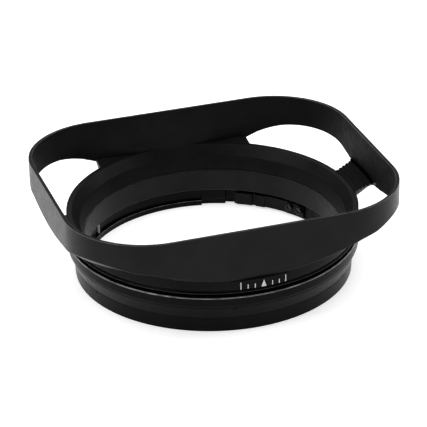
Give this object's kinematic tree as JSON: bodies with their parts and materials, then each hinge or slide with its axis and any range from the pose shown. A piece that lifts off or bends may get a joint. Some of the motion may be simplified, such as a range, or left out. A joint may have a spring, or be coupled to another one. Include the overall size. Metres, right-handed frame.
{
  "type": "lens hood",
  "caption": "Rectangular vented lens hood with rounded corners, cut-out corner windows and a round bayonet ring with a sprung detent.",
  "frame": {"origin": "on the optical axis, in the plane of the bayonet ring's rear face", "axes": "+Z along the optical axis towards the scene, +X along the hood's long side, -Y towards the side that carries the index mark"},
  "size_m": [0.0652, 0.0566, 0.021],
  "materials": {
    "hood_body": "satin black anodised aluminium",
    "bayonet_ring": "satin black anodised aluminium, fine turned",
    "detent_spring": "blackened spring steel",
    "spring_screw": "blackened steel",
    "stop_pin": "bright steel",
    "ring_lock_screw": "blackened steel"
  },
  "bodies": {
    "hood": {"hood_body": "hood_body", "bayonet_ring": "bayonet_ring", "spring_screw_1": "spring_screw", "spring_screw_2": "spring_screw", "stop_pin": "stop_pin", "ring_lock_screw": "ring_lock_screw"},
    "detent": {"detent_spring": "detent_spring"}
  },
  "joints": [
    {"name": "detent_flex", "type": "hinge", "parent": "hood", "child": "detent", "pos_m": [0.02171, 0.01279, 0.0016], "axis": [0, 0, -1], "range_deg": [0, 2.3], "stiffness_Nm_per_rad": 0.86, "springref_deg": -1.15}
  ]
}
